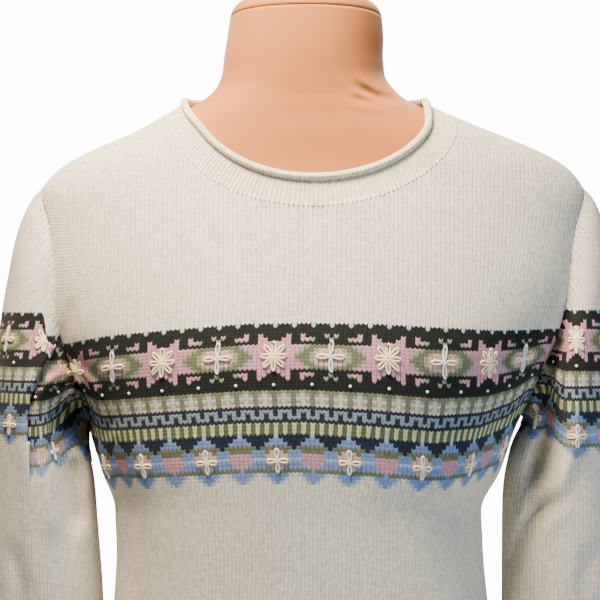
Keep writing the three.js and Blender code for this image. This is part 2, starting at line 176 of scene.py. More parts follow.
# %% [markdown]
# ## Folds
# Cloth that hangs from the shoulders breaks into soft troughs and ridges. Each fold here is a line of a
# table: where it is, how wide and long it is, and how deep. A cloth simulation could find folds of its own,
# but these are the ones that this jumper has, so they are given one by one.

# %% Fold tables
def fold_table(*rows):
    """One fold a row. The angle is in degrees round a section: 0 is the side at +X and 90 the front."""
    return [dict(zip(("angle", "at", "wide", "long", "depth", "lean"), row)) for row in rows]


BODY_FOLDS = fold_table(
    (152, 300, 9, 60, 4, 0.03),
    (30, 310, 9, 70, 4, -0.03),
    (62, 470, 10, 90, 3, 0),
    (124, 480, 11, 80, 3, 0.02),
    (215, 320, 12, 80, 5, 0),
    (322, 330, 12, 80, 5, 0),
    (270, 400, 14, 110, 4, 0),
)
SLEEVE_FOLDS = {
    "left": fold_table((132, 130, 20, 75, 11, -0.1), (70, 330, 22, 90, 4, 0.05), (225, 140, 24, 80, 9, 0)),
    "right": fold_table((128, 120, 20, 80, 12, 0), (80, 320, 22, 90, 4, 0), (230, 150, 24, 80, 9, 0)),
}


def fold_depth(folds, angle, at):
    total = np.zeros(np.broadcast(angle, at).shape)
    for fold in folds:
        along = at - fold["at"]
        across = np.degrees(angle) - fold["angle"] - fold["lean"] * along
        across = across - 360 * np.round(across / 360)
        total = total + fold["depth"] * bell(across, fold["wide"]) * bell(along, fold["long"])
    return total


# %% [markdown]
# ## The body's surface
# A worn jumper is close to a stack of rounded sections, wider than they are deep. Each section is a
# superellipse, a circle whose squareness can be chosen, with its own depth in front and behind.


# %% Body surface
def section_point(section, angle, drop):
    c, s = np.cos(angle), np.sin(angle)
    depth = np.where(s > 0, section["front"], section["back"])
    x = section["shift"] + section["half"] * power(c, 2 / ROUNDNESS)
    y = -depth * power(s, 2 / ROUNDNESS)
    z = NECK_POINT - np.asarray(drop, float)
    return np.stack(np.broadcast_arrays(x, y, z), -1)


def plain_body(angle, drop):
    return section_point(body_section(drop), angle, drop)


def normal_of(surface, u, v, step_u=0.02, step_v=1.0):
    across = surface(u + step_u, v) - surface(u - step_u, v)
    along = surface(u, v + step_v) - surface(u, v - step_v)
    return unit(np.cross(across, along))


def body_point(angle, drop, out=0.0):
    """A place on the cloth's outer face, moved out by out millimetres."""
    rise = np.asarray(out, float) - fold_depth(BODY_FOLDS, angle, drop)
    return plain_body(angle, drop) + normal_of(plain_body, angle, drop) * rise[..., None]


# %% [markdown]
# ## Small creases
# Where the arms' cloth hangs slack, narrow creases run down from the armpits. Each is a line of places on
# the front, given as x and drop, that sinks into the cloth and pushes it up a little on both sides. Under
# the arm at -X the slack gathers in a hollow, with arched folds above it, and draws cloth up into itself.

# %% Crease lines
CREASES = [
    dict(line=[(-173, 150), (-178, 172), (-184, 188)], wide=4.5, depth=1.6),
    dict(line=[(-178, 268), (-175, 300), (-171, 335)], wide=8, depth=12),
    dict(line=[(184, 212), (186, 236), (186, 256), (177, 281), (165, 300)], wide=7.5, depth=15),
    dict(line=[(194, 298), (174, 314), (166, 328), (161, 348), (158, 384)], wide=5.5, depth=9),
    dict(line=[(-160, 262), (-138, 236)], wide=4.5, depth=2.2),
    dict(line=[(158, 258), (132, 238)], wide=4.5, depth=2.2),
    dict(line=[(-222, 330), (-214, 372), (-218, 410)], wide=7, depth=2.4),
    dict(line=[(214, 330), (206, 372), (212, 420)], wide=7, depth=2.4),
]
BANK_AWAY, BANK_SHARE = 1.9, 0.3  # cloth pushed up beside a crease, in widths and as a share of its depth
HOLLOW = dict(x=-177, drop=237, across=12, up=8, down=34, depth=26)
PULL = dict(x=-175, across=13, top=206, full=252, end=335, lift=19)
ARCHES = [(12, 3.4), (18, -2.4), (24, 2.6), (30, -1.2)]  # radius and height of each arched fold
ARCH_WIDTH, ARCH_SQUASH = 3.2, 0.8
FRONT_FADE = 12  # creases fade out where the cloth turns to the back


def line_depth(crease, x, drop):
    """Depth of one crease at each place, fading at both ends of its line."""
    points = np.array(crease["line"], float)
    spans = np.linalg.norm(np.diff(points, axis=0), axis=1)
    run = np.concatenate([[0], np.cumsum(spans)])
    nearest = np.full(np.shape(x), 1e9)
    along = np.zeros(np.shape(x))
    for i, span in enumerate(spans):
        (x0, d0), (x1, d1) = points[i], points[i + 1]
        t = np.clip(((x - x0) * (x1 - x0) + (drop - d0) * (d1 - d0)) / span ** 2, 0, 1)
        away = np.hypot(x - x0 - t * (x1 - x0), drop - d0 - t * (d1 - d0))
        closer = away < nearest
        nearest = np.where(closer, away, nearest)
        along = np.where(closer, run[i] + t * span, along)
    share = along / run[-1]
    fade = plateau(share, 0, 0.25, 0.7, 1)
    bank = bell(nearest - BANK_AWAY * crease["wide"], crease["wide"])
    return crease["depth"] * fade * (bell(nearest, crease["wide"]) - BANK_SHARE * bank)


def crease_depth(points):
    """How far the creases sink the front's cloth at each place."""
    x, y, drop = points[..., 0], points[..., 1], NECK_POINT - points[..., 2]
    total = sum(line_depth(crease, x, drop) for crease in CREASES)
    away, below = x - HOLLOW["x"], drop - HOLLOW["drop"]
    reach_down = np.where(below < 0, HOLLOW["up"], HOLLOW["down"])
    total = total + HOLLOW["depth"] * bell(away, HOLLOW["across"]) * bell(below, reach_down)
    reach = np.hypot(away, below * ARCH_SQUASH)
    for radius, height in ARCHES:
        total = total - height * smoothstep(-below, -6, 6) * bell(reach - radius, ARCH_WIDTH)
    return total * smoothstep(-y, 0, FRONT_FADE)


def sunk_by_creases(points):
    """Pushes the cloth straight back, so that a seam that crosses a crease stays closed."""
    moved = points.copy()
    pulled = plateau(NECK_POINT - points[..., 2], PULL["top"], PULL["full"], PULL["full"], PULL["end"])
    beside = bell(points[..., 0] - PULL["x"], PULL["across"]) * smoothstep(-points[..., 1], 0, FRONT_FADE)
    moved[..., 2] += PULL["lift"] * pulled * beside
    moved[..., 1] += crease_depth(moved)
    return moved


# %% [markdown]
# ## Measuring along the cloth
# Stitches have a fixed width, so we need to find the place on a section that is a given length of cloth away
# from the middle of the front. The lengths are added up once, in small steps, and then read backwards.

# %% Cloth length round each section
DROPS = np.arange(-6, HEM_DROP + 1, 2.0)
ANGLE_STEPS = 400
quarter_angles = np.pi / 2 * (1 - np.linspace(0, 1, ANGLE_STEPS) ** 0.8)


def measure_quarter(face):
    """Cloth length from the middle of the front or back to each angle, at each height."""
    angles = quarter_angles if face == "front" else -quarter_angles
    grid = plain_body(angles[None, :], DROPS[:, None])
    steps = np.linalg.norm(np.diff(grid, axis=1), axis=-1)
    return np.concatenate([np.zeros((len(DROPS), 1)), np.cumsum(steps, axis=1)], axis=1)


FACES = ("front", "back")
quarters = {face: measure_quarter(face) for face in FACES}
SHARES = 256
share_grid = np.linspace(0, 1, SHARES)
angle_tables = {
    face: np.array([np.interp(share_grid, row / row[-1], quarter_angles) for row in quarters[face]])
    for face in FACES
}


def quarter_length(face, drop):
    return np.interp(drop, DROPS, quarters[face][:, -1])


def angle_at(face, length, drop):
    """The angle (0 at the side, a quarter turn at the middle) that lies length along the cloth."""
    share = np.clip(length / quarter_length(face, drop), 0, 1) * (SHARES - 1)
    row = np.clip((np.asarray(drop, float) - DROPS[0]) / (DROPS[1] - DROPS[0]), 0, len(DROPS) - 1)
    i, j = np.minimum(row.astype(int), len(DROPS) - 2), np.minimum(share.astype(int), SHARES - 2)
    a, b = row - i, share - j
    table = angle_tables[face]
    upper = table[i, j] * (1 - b) + table[i, j + 1] * b
    lower = table[i + 1, j] * (1 - b) + table[i + 1, j + 1] * b
    return upper * (1 - a) + lower * a


def length_at(face, angle, drop):
    """Cloth length from the middle to an angle, one height at a time."""
    lengths = []
    for one_angle, one_drop in zip(np.atleast_1d(angle), np.atleast_1d(drop)):
        row = plain_body(quarter_angles if face == "front" else -quarter_angles, one_drop)
        run = np.concatenate([[0], np.cumsum(np.linalg.norm(np.diff(row, axis=0), axis=-1))])
        lengths.append(np.interp(-one_angle, -quarter_angles, run))
    return np.array(lengths)


print("cloth round the chest:", round(2 * sum(float(quarter_length(f, ARMPIT_DROP)) for f in FACES)), "mm")


# %% Armhole and neckline edges
def armhole_angle(step, face):
    """The armhole's edge: step is 0 at the shoulder point and half a turn at the armpit."""
    middle, reach = (ARMPIT_DROP + SHOULDER_DROP) / 2, (ARMPIT_DROP - SHOULDER_DROP) / 2
    drop = middle - reach * np.cos(step)
    depth = ARMHOLE_DEPTH[face] * np.abs(np.sin(step))
    share = np.clip(depth / body_section(drop)[face], 0, 1)
    return drop, np.arcsin(share ** (ROUNDNESS / 2))


def neck_curve(curve, round_):
    """A curve round the neck. round_ is 0 at the shoulder seam at +X and a quarter turn in front."""
    c, s = np.cos(round_), np.sin(round_)
    drop = curve["side"] + np.where(s > 0, curve["front"], curve["back"]) * np.abs(s)
    across = np.clip(np.abs(curve["half"] * c / body_section(drop)["half"]), 0, 1)
    level = np.arccos(across ** (ROUNDNESS / 2))
    angle = np.where(c < 0, np.pi - level, level)
    return drop, np.where(s > 0, angle, -angle)


EDGE_STEPS = 160
edges = {}
for face in FACES:
    arm_drop, arm_angle = armhole_angle(np.linspace(0, np.pi, EDGE_STEPS), face)
    quarter = np.linspace(0, np.pi / 2, EDGE_STEPS)
    neck_drop, neck_angle = neck_curve(NECKLINE, quarter if face == "front" else -quarter)
    edges[face] = dict(
        arm_drop=arm_drop,
        arm_length=length_at(face, arm_angle, arm_drop),
        neck_drop=neck_drop[::-1],
        neck_length=length_at(face, np.abs(neck_angle), neck_drop)[::-1],
    )


def panel_edge(face, drop):
    """Cloth length from the middle to the panel's edge: shoulder seam, armhole or side seam."""
    edge = edges[face]
    at_arm = np.interp(drop, edge["arm_drop"], edge["arm_length"])
    inside = (drop > SHOULDER_DROP) & (drop < ARMPIT_DROP)
    return np.where(inside, at_arm, quarter_length(face, drop))


# %% [markdown]
# ## Stitch coordinates
# A stitch is named by its wale, counted from the middle of the front, and its row, counted down from the top
# of the coloured band. Real knitting draws in at the waist, so the wales run closer there. On the worn jumper
# the band sags towards the armholes and its motifs have wandered sideways, so small tables say how far.

# %% Gauge of the knitting
WALES = 70  # from the middle of a panel to its side seam
WALE = 3.5  # width of a stitch at the chest
DRAWN_FROM = 190  # drop where the wales begin to draw in
PLAIN_ROW = 2.07
SEAM_OVERLAP = 0.8
SEAM_DIP = 0.5  # how far the cloth sinks at a seam
SEAM_ALLOWANCE, SEAM_TUCK = 3, 0.4  # a sleeve's edge runs on under the panel, and this much lower
BAND_DROP = 169.2
STAR_ROW, KNOT_ROW, CROSS_ROW = 9.5, 17.6, 39.0  # rows of the embroidery, counted from the band's top
BAND_PARTS = [(19, 2.53), (10, 2.32), (16, 2.8)]  # rows, and the height of a row
BAND_ROWS = sum(rows for rows, _ in BAND_PARTS)

row_marks = [(-100, BAND_DROP - 100 * PLAIN_ROW), (0, BAND_DROP)]
for rows, height in BAND_PARTS:
    last_row, last_drop = row_marks[-1]
    row_marks.append((last_row + rows, last_drop + rows * height))
BAND_END = row_marks[-1][1]
row_marks.append((BAND_ROWS + 200, BAND_END + 200 * PLAIN_ROW))
mark_rows, mark_drops = np.array(row_marks).T

# How far the band sags at a length of cloth from the middle, at its top and from its middle down.
SAG_ALONG = [-195, -150, -96, -45, 0, 48, 98, 139, 170, 190]
SAG_TOP = [16, 9.4, 4.6, 0.5, 0, 0.7, 3.5, 5.5, 5.3, 4.8]
SAG_LOW = [13, 9.1, 4.6, 1, 0, 3, 7.7, 6.3, 0, -10]

SAG_FROM, SAG_MIDDLE = 60, 60  # drop where it starts, and how far below the band's top the low table holds
SAG_FADE = (300, 500)


def sag(length, drop):
    top = np.interp(length, SAG_ALONG, SAG_TOP) * smoothstep(drop, SAG_FROM, BAND_DROP)
    low = np.interp(length, SAG_ALONG, SAG_LOW)
    mixed = top + (low - top) * np.clip((drop - BAND_DROP) / SAG_MIDDLE, 0, 1)
    return mixed * (1 - smoothstep(drop, *SAG_FADE))


# How far the front's wales have moved sideways, in millimetres, at the stars and at the crosses.
WANDER_WALES = [-70, -56, -40, -24, -8, 8, 16, 24, 32, 40, 52, 64, 70]
WANDER_STARS = [0, 2.9, 3.5, 3, 1.4, 0.2, 0, 0.6, 0, -4.5, -15, -12, 0]
WANDER_CROSSES = [0, 0.6, 1.4, 4.2, 6.2, 8.4, 11.5, 14, 12.5, 9.3, 3, 0.5, 0]
WANDER_FADE = (-45, 0, 60, 140)  # rows where it starts, is full, and ends


def wander(wale, row):
    low = np.clip((row - STAR_ROW) / (CROSS_ROW - STAR_ROW), 0, 1)
    upper, lower = (np.interp(wale, WANDER_WALES, shifts) for shifts in (WANDER_STARS, WANDER_CROSSES))
    return (upper + (lower - upper) * low) * plateau(row, *WANDER_FADE)


def wale_width(face, drop):
    """Width of one stitch at a height, so that every wale from the armpit down reaches the hem."""
    drawn = quarter_length(face, drop) / WALES
    share = smoothstep(drop, DRAWN_FROM, ARMPIT_DROP + 10)
    return np.where(drop < DRAWN_FROM, WALE, WALE + (drawn - WALE) * share)


def panel_place(face, wale, row):
    """Signed length from the middle, and drop, of a stitch coordinate, before the edges are cut."""
    drop = np.interp(row, mark_rows, mark_drops)
    length = wale * wale_width(face, drop)
    if face == "front":
        length = length + wander(wale, row)
        drop = drop + sag(length, drop)
    return length, drop


def panel_point(face, wale, row, out=0.0):
    """A place on a body panel, cut off at the neckline, armhole, side seam and hem."""
    length, drop = panel_place(face, wale, row)
    edge = edges[face]
    neck = np.interp(np.abs(length), edge["neck_length"], edge["neck_drop"], right=NECKLINE["side"])
    drop = np.clip(np.maximum(drop, neck), NECKLINE["side"], HEM_DROP - HEM_RIB)
    by_armhole = (drop > SHOULDER_DROP) & (drop < ARMPIT_DROP)
    limit = panel_edge(face, drop) + SEAM_OVERLAP * by_armhole
    size = np.minimum(np.abs(length), limit)
    angle = angle_at(face, size, drop)
    angle = np.where(length < 0, np.pi - angle, angle)
    if face == "back":
        angle = -angle
    return sunk_by_creases(body_point(angle, drop, out))


print("band:", BAND_ROWS, "rows,", round(BAND_END - BAND_DROP), "mm tall")

# %% [markdown]
# ## The sleeves' surface
# A set-in sleeve starts at the armhole's edge and eases into a tube that hangs almost straight down. Its
# rings turn like a fan, from the plane of the armhole to level rings at the wrist.


# %% Sleeve surface
# All of these are lengths along the sleeve.
EASE_LENGTH = 30  # over which it eases from the armhole's edge into a tube
SEAM_WIDTH = 6
SETTLED = (0, 120)  # over which it takes up its own lean
INNER_CHANGE = (160, 300)  # over which the lean of its inner side changes
FOLDS_START = (0, 40)


def armhole_edge(side, step, out=0.0):
    front = np.sin(step) >= 0
    drop_f, angle_f = armhole_angle(step, "front")
    drop_b, angle_b = armhole_angle(step, "back")
    drop = np.where(front, drop_f, drop_b)
    angle = np.where(front, angle_f, angle_b)
    if SIDES[side]["sign"] < 0:
        angle = np.pi - angle
    return body_point(np.where(front, angle, -angle), drop, out)


def loose_sleeve(side, path, step):
    section = sleeve_section(path)
    hang = SIDES[side]
    settled = smoothstep(path, *SETTLED)
    inner = hang["upper"] + (hang["lower"] - hang["upper"]) * smoothstep(path, *INNER_CHANGE)
    high_x = section["out_x"] + hang["outer"] * settled
    low_x = section["in_x"] + inner * settled
    t = (1 + np.cos(step)) / 2
    x = hang["sign"] * (low_x + (high_x - low_x) * t) + SLEEVE_SHIFT
    y = -section["depth"] * np.sin(step)
    z = NECK_POINT - (section["in_drop"] + (section["out_drop"] - section["in_drop"]) * t)
    return np.stack(np.broadcast_arrays(x, y, z), -1)


def sleeve_base(side, step, path):
    """The loose tube, drawn to the armhole's edge where it starts."""
    path = np.maximum(path, 0)
    fitted = armhole_edge(side, step) - loose_sleeve(side, np.zeros_like(path), step)
    return loose_sleeve(side, path, step) + fitted * bell(path, EASE_LENGTH)[..., None]


def sleeve_point(side, step, path, out=0.0):
    step, path = np.broadcast_arrays(np.asarray(step, float), np.asarray(path, float))
    sign = SIDES[side]["sign"]
    normal = normal_of(lambda u, v: sleeve_base(side, u, v), step, path) * sign
    sunk = fold_depth(SLEEVE_FOLDS[side], step, path) * smoothstep(path, *FOLDS_START)
    base = sleeve_base(side, step, path)
    rise = np.asarray(out, float) - sunk - SEAM_DIP * bell(path, SEAM_WIDTH)
    turn_in = (path <= 0)[..., None]
    away = unit(sleeve_base(side, step, path + 4) - base)
    base = base - turn_in * (SEAM_ALLOWANCE * away + SEAM_TUCK * normal)
    return sunk_by_creases(base + normal * rise[..., None])


# %% Stitch coordinates on a sleeve
SLEEVE_WALES = 96  # round the sleeve
SLEEVE_BAND = {
    "left": dict(drop=160, scale=0.95, chart=-8),
    "right": dict(drop=162, scale=0.85, chart=17),
}
PATHS = np.linspace(0, SLEEVE_END, 160)
FRONT_OF_SLEEVE = math.pi / 2


def sleeve_place(side, wale, row):
    """Angle round the sleeve and drop of a stitch coordinate. Wale 0 is at the front of the sleeve."""
    band = SLEEVE_BAND[side]
    step = FRONT_OF_SLEEVE - wale * 2 * math.pi / SLEEVE_WALES
    level = np.interp(row, mark_rows, mark_drops) - BAND_DROP
    inside = np.clip(level, 0, BAND_END - BAND_DROP)
    return step, band["drop"] + level - inside * (1 - band["scale"])


FINE_STEPS = np.linspace(-math.pi / 2, 2 * math.pi, 1501)
sleeve_drops = {}
for side in SIDES:
    heights = sleeve_base(side, FINE_STEPS[:, None], PATHS[None, :])[..., 2]
    sleeve_drops[side] = np.maximum.accumulate(NECK_POINT - heights, axis=1)


def unwound(step):
    """The same angle, from a quarter turn before the shoulder on."""
    return (step + math.pi / 2) % (2 * math.pi) - math.pi / 2


def sleeve_path(side, step, drop):
    """How far along the sleeve a drop lies, for each angle round it."""
    table = sleeve_drops[side]
    place = (unwound(step) - FINE_STEPS[0]) / (FINE_STEPS[1] - FINE_STEPS[0])
    index = np.clip(np.rint(place).astype(int), 0, len(FINE_STEPS) - 1)
    path = np.empty(np.shape(drop))
    flat_index, flat_drop, flat_path = index.ravel(), np.asarray(drop).ravel(), path.ravel()
    for one in np.unique(flat_index):
        chosen = flat_index == one
        line = table[one]
        flat_path[chosen] = np.interp(flat_drop[chosen], line + np.arange(len(line)) * 1e-6, PATHS)
    return flat_path.reshape(np.shape(drop))


# %% [markdown]
# ## The slack of the sleeves
# Both sleeves are a little twisted. On one, the cloth nearest the body has slid down behind a fold, so the
# band is broken there and its inner part lies lower. On the other, the inner part rides up in a soft curve.
# A single grid can't overlap itself, so the folded sleeve is laid twice, once for each part, and cut along
# the fold.

# %% Fold and slip of the sleeves
FOLD_LINE = dict(
    drop=[160, 185, 202, 224, 239, 270, 300],
    x=[-187, -187, -195.5, -205, -207.5, -206.5, -206],
)
SLIP_ROWS = [-34, 0, 10, 50, 110]
SLIP = [0, 17, 26, 24, 0]
LIFT_ROWS = [10, 22, 36, 48, 100]
LIFT = [0, -9, -14, -14, 0]
OUTER, INNER = "outer", "inner"
BACK_FADE = (3.4, 4.4)  # radians round the sleeve
LIFT_FADE, SLIP_FADE = (178, 194), (-198, -184)  # across x
SHARP_ROWS = (5, 12)  # from here down the slip is a sharp fold
FOLD_REACH = (182, 204, 262, 300)  # drops where the fold starts, is full, fades and ends
FOLD_WIDTH = 10
FOLD_EDGE = (-2.6, 0.4)
OUTER_RISE, EDGE_SINK, INNER_SINK = 3.2, 2.4, 3.4


def fold_x(drop):
    return np.interp(drop, FOLD_LINE["drop"], FOLD_LINE["x"])


def slipped(side, part, points, step, row, drop):
    """Drop of a stitch after the sleeve's slack has moved it."""
    x, y = points[..., 0], points[..., 1]
    turned = unwound(step)
    round_back = 1 - smoothstep(turned, *BACK_FADE)
    if side == "left":
        return drop + np.interp(row, LIFT_ROWS, LIFT) * (1 - smoothstep(x, *LIFT_FADE)) * round_back
    soft = np.where(y < 0, smoothstep(x, *SLIP_FADE), 1)
    sharp = smoothstep(row, *SHARP_ROWS)
    share = soft * (1 - sharp) + (part == INNER) * sharp
    share = np.where((y < 0) | (turned > math.pi / 2), share, 0)
    return drop + np.interp(row, SLIP_ROWS, SLIP) * share * round_back


def fold_rise(part, points):
    """The outer part of the folded sleeve stands up beside the fold, and the inner part sinks."""
    x, y, drop = points[..., 0], points[..., 1], NECK_POINT - points[..., 2]
    beside = x - fold_x(drop)
    lively = plateau(drop, *FOLD_REACH) * smoothstep(-y, 0, FRONT_FADE)
    if part == OUTER:
        return lively * (OUTER_RISE * bell(beside, FOLD_WIDTH) - EDGE_SINK * smoothstep(beside, *FOLD_EDGE))
    return -INNER_SINK * lively * bell(beside, FOLD_WIDTH)


def sleeve_stitch(side, wale, row, out=0.0, part=INNER):
    step, drop = sleeve_place(side, wale, row)
    first = loose_sleeve(side, sleeve_path(side, step, drop), step)
    drop = slipped(side, part, first, step, row, drop)
    path = sleeve_path(side, step, drop)
    if side == "right":
        out = out + fold_rise(part, loose_sleeve(side, path, step))
    return sleeve_point(side, step, path, out)


# %% [markdown]
# ## The chart
# Fair isle is worked from a chart, with one letter for each stitch. A motif is the same on both sides of its
# middle, so half of each row is enough. The stars repeat every 24 stitches, with a diamond between them.

# %% Yarn colours and chart
YARNS = {
    "C": "#e0d6c1",  # oatmeal ground
    "E": "#a7b6c6",  # ice, at the band's edges
    "K": "#1a1e1b",  # charcoal
    "P": "#c58e9b",  # pink
    "R": "#d5a894",  # peach
    "G": "#686b50",  # olive
    "O": "#716f56",  # pale olive
    "S": "#8f917a",  # silver green
    "D": "#bfc2ad",  # silver
    "T": "#c9b5a2",  # shell
    "N": "#1e2634",  # navy
    "W": "#7c888f",  # silver blue
    "L": "#bac18e",  # pale yellow green
    "V": "#5a5d46",  # deep olive
    "B": "#748ab5",  # blue
    "I": "#97afd0",  # icy blue
}
STAR_WALE = 16  # the wale in the middle of a star
STAR_REPEAT = 24
CROSS_WALE = 8  # the wale in the middle of a peach blob
CROSS_REPEAT = 16
BLOB_REPEAT = 8
STAR_TOP = [
    "EKKKEKKKEKKKE",
    "KKKKKKKKKKKKK",
    "KKKKKKKKKKKKK",
    "KKKPKKPKKKKSK",
    "KKPPKKPPSKKKS",
    "KPPPKKKKKKKKK",
    "PPPPPPPSGGGGR",
    "PPPPPPSGGSRRP",
    "PPPPPSGGSRRPR",
]
STAR_MIDDLE = ["PPPPPGGGSRRRR"]
STAR_ROWS = STAR_TOP + STAR_MIDDLE + STAR_TOP[:2:-1] + ["K" * 13] * 3
SMALL_ROWS = [  # each repeats every 4 stitches
    "SOOO", "DSOS", "DDOD", "DSOS", "TTOT",
    "NNNN", "WWNW", "NWNW", "NWWW", "NNNN",
    "LVLV", "LVLV", "LVLV",
]
TRIANGLE_ROWS = ["INNNN", "BBNNN", "BBBNN", "GGGGN"]  # by distance from a triangle's middle, every 8
BLOB_ROWS = {  # by distance from a blob's middle, every 8; the middles are pink and peach by turns
    "pink": ["GGGBB", "PPPBB", "PPPII", "PPPBB", "PPBBB"],
    "peach": ["RRGBB", "RRRBB", "RRRII", "RRRBB", "RRBBB"],
}
EDGE_ROWS = ["BGGGG", "BBBEC", "BBECC", "BECCC"]  # the last three are scallops


def linear(hex_colour):
    """The linear colour that Blender wants, from an sRGB hex value."""
    parts = np.array([int(hex_colour[i:i + 2], 16) for i in (1, 3, 5)]) / 255
    return np.where(parts <= 0.04045, parts / 12.92, ((parts + 0.055) / 1.055) ** 2.4)


def from_middle(wale, middle, repeat):
    """Stitches from a wale to the nearest middle of a motif."""
    return abs((wale - middle + repeat // 2) % repeat - repeat // 2)


def stitch_letter(wale, row):
    """The yarn of one stitch of the chart, or C for the ground."""
    if not 0 <= row < BAND_ROWS:
        return "C"
    from_blob = from_middle(wale, STAR_WALE, BLOB_REPEAT)
    blob = "peach" if (wale - CROSS_WALE + 4) % CROSS_REPEAT < BLOB_REPEAT else "pink"
    for rows, column in (
        (STAR_ROWS, from_middle(wale, STAR_WALE, STAR_REPEAT)),
        (SMALL_ROWS, (wale - STAR_WALE + 2) % 4),
        (TRIANGLE_ROWS, from_blob),
        (BLOB_ROWS[blob], from_blob),
        (EDGE_ROWS, from_blob),
    ):
        if row < len(rows):
            return rows[row][column]
        row -= len(rows)


yarn_colours = {letter: linear(value) for letter, value in YARNS.items()}
print("chart rows:", len(STAR_ROWS + SMALL_ROWS + TRIANGLE_ROWS + BLOB_ROWS["pink"] + EDGE_ROWS))

# %% [markdown]
# ## From stitches to a mesh
# Each wale gets two columns of faces, the left and right leg of its Vs. The middle line of a wale is moved
# half a row down, which makes the V, and a little out, which makes the wale round. Vertices that the edges
# cut off fall together, so they are welded and the empty faces dropped.

# %% Stitch grid to mesh
form_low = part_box("dress_form")[0]
FORM_OWN_LOW = (-199.5, -103)  # the form's lowest corner in the tables' own frame
solid_shift = np.array([form_low.x / MM - FORM_OWN_LOW[0], form_low.y / MM - FORM_OWN_LOW[1], 0.0])
print("the solids are centred by", np.round(solid_shift[:2], 2), "mm")
V_DROP = 0.5  # how far a wale's middle hangs below its sides, in rows
WALE_RISE = 0.35
WELD = 0.02
OTHER_WAY = [0, 3, 2, 1]  # a face's corners taken the other way round, to turn its outside in


def new_object(name, points, polygons, material, corner_uv=None, corner_colour=None):
    """A mesh object from points in millimetres and lists of corners."""
    mesh = bpy.data.meshes.new(name)
    mesh.from_pydata(((points.reshape(-1, 3) + solid_shift) * MM).tolist(), [], polygons)
    if corner_uv is not None:
        layer = mesh.uv_layers.new(name="stitch")
        layer.data.foreach_set("uv", np.asarray(corner_uv, np.float32).ravel())
    if corner_colour is not None:
        tint = mesh.color_attributes.new("yarn", "FLOAT_COLOR", "CORNER")
        tint.data.foreach_set("color", np.asarray(corner_colour, np.float32).ravel())
    mesh.shade_smooth()
    mesh.materials.append(material)
    piece = bpy.data.objects.new(name, mesh)
    bpy.context.scene.collection.objects.link(piece)
    print(name, len(polygons), "faces")
    return piece


def knit_object(name, layers, across, down, material):
    """Stitch grids as one welded mesh. A layer is its points, the faces to keep and their colours."""
    polygons, corners, tints = [], [], []
    index = np.arange(across.size).reshape(across.shape)
    quads = np.stack([index[1:, :-1], index[1:, 1:], index[:-1, 1:], index[:-1, :-1]], -1).reshape(-1, 4)
    every = np.concatenate([points.reshape(-1, 3) for points, _, _ in layers])
    places = np.round(every / WELD).astype(int)
    _, first, joined = np.unique(places, axis=0, return_index=True, return_inverse=True)
    joined = joined.reshape(-1)
    for layer, (_, mask, colours) in enumerate(layers):
        colours = colours.reshape(-1, 3)
        offset = layer * across.size
        for number in np.flatnonzero(mask.ravel()):
            kept = []
            for corner in quads[number] + offset:
                if not kept or joined[corner] != joined[kept[-1]]:
                    kept.append(corner)
            if len(kept) > 1 and joined[kept[0]] == joined[kept[-1]]:
                kept.pop()
            face = [int(joined[corner]) for corner in kept]
            if len(face) > 2 and len(set(face)) == len(face):
                polygons.append(face)
                corners.extend(corner - offset for corner in kept)
                tints.extend([colours[number]] * len(kept))
    corner_uv = np.stack([across.ravel()[corners], down.ravel()[corners]], -1)
    tint = np.concatenate([np.array(tints), np.ones((len(tints), 1))], axis=1)
    return new_object(name, every[first], polygons, material, corner_uv, tint)


def ring_faces(rings, count, closed=False):
    """Faces between rings of count points each, and from the last ring to the first if closed."""
    index = np.arange(rings * count).reshape(rings, count)
    beside = np.roll(index, -1, axis=1)
    faces = np.stack([index, beside, np.roll(beside, -1, axis=0), np.roll(index, -1, axis=0)], -1)
    return (faces if closed else faces[:-1]).reshape(-1, 4)


def ring_corners(rings, count):
    """Place on its ring, and number of its ring, at each corner of the closed ring_faces."""
    place, ring = np.tile(np.arange(count), rings), np.repeat(np.arange(rings), count)
    places = np.stack([place, place + 1, place + 1, place], -1)
    return places.ravel(), np.stack([ring, ring, ring + 1, ring + 1], -1).ravel()


def tube(line, radius, sides, upright, closed=False):
    """Points and faces of a tube along a line. upright is a direction that the line never takes."""
    if closed:
        ahead = unit(np.roll(line, -1, axis=0) - np.roll(line, 1, axis=0))
    else:
        ahead = unit(np.gradient(line, axis=0))
    side = unit(np.cross(ahead, np.array(upright)))
    up = np.cross(side, ahead)
    turn = full_turn(sides)[None, :, None]
    points = line[:, None] + side[:, None] * (np.cos(turn) * radius) + up[:, None] * (np.sin(turn) * radius)
    faces = ring_faces(len(line), sides, closed).tolist()
    if not closed:
        last = (len(line) - 1) * sides
        faces += [list(range(sides))[::-1], list(range(last, last + sides))]
    return points.reshape(-1, 3), faces


def every_face(points):
    return np.ones((points.shape[0] - 1, points.shape[1] - 1), bool)


def face_middle(values):
    return (values[1:, 1:] + values[:-1, 1:] + values[1:, :-1] + values[:-1, :-1]) / 4


def stitch_rows(first_row, last_row):
    """Row lines of the mesh: every row in the coloured band, and every second row elsewhere."""
    above = np.arange(first_row, 0, 2)
    below = np.arange(BAND_ROWS, last_row + 2, 2)
    return np.concatenate([above, np.arange(0, BAND_ROWS), below]).astype(float)


def stitch_grid(first_wale, last_wale, first_row, last_row):
    """Stitch coordinates of the grid's vertices, and which of them are in the middle of a wale."""
    wales = np.arange(first_wale * 2, last_wale * 2 + 1) / 2
    wale, row = np.meshgrid(wales, stitch_rows(first_row, last_row))
    in_middle = (wale * 2) % 2 == 1
    return wale, row, in_middle


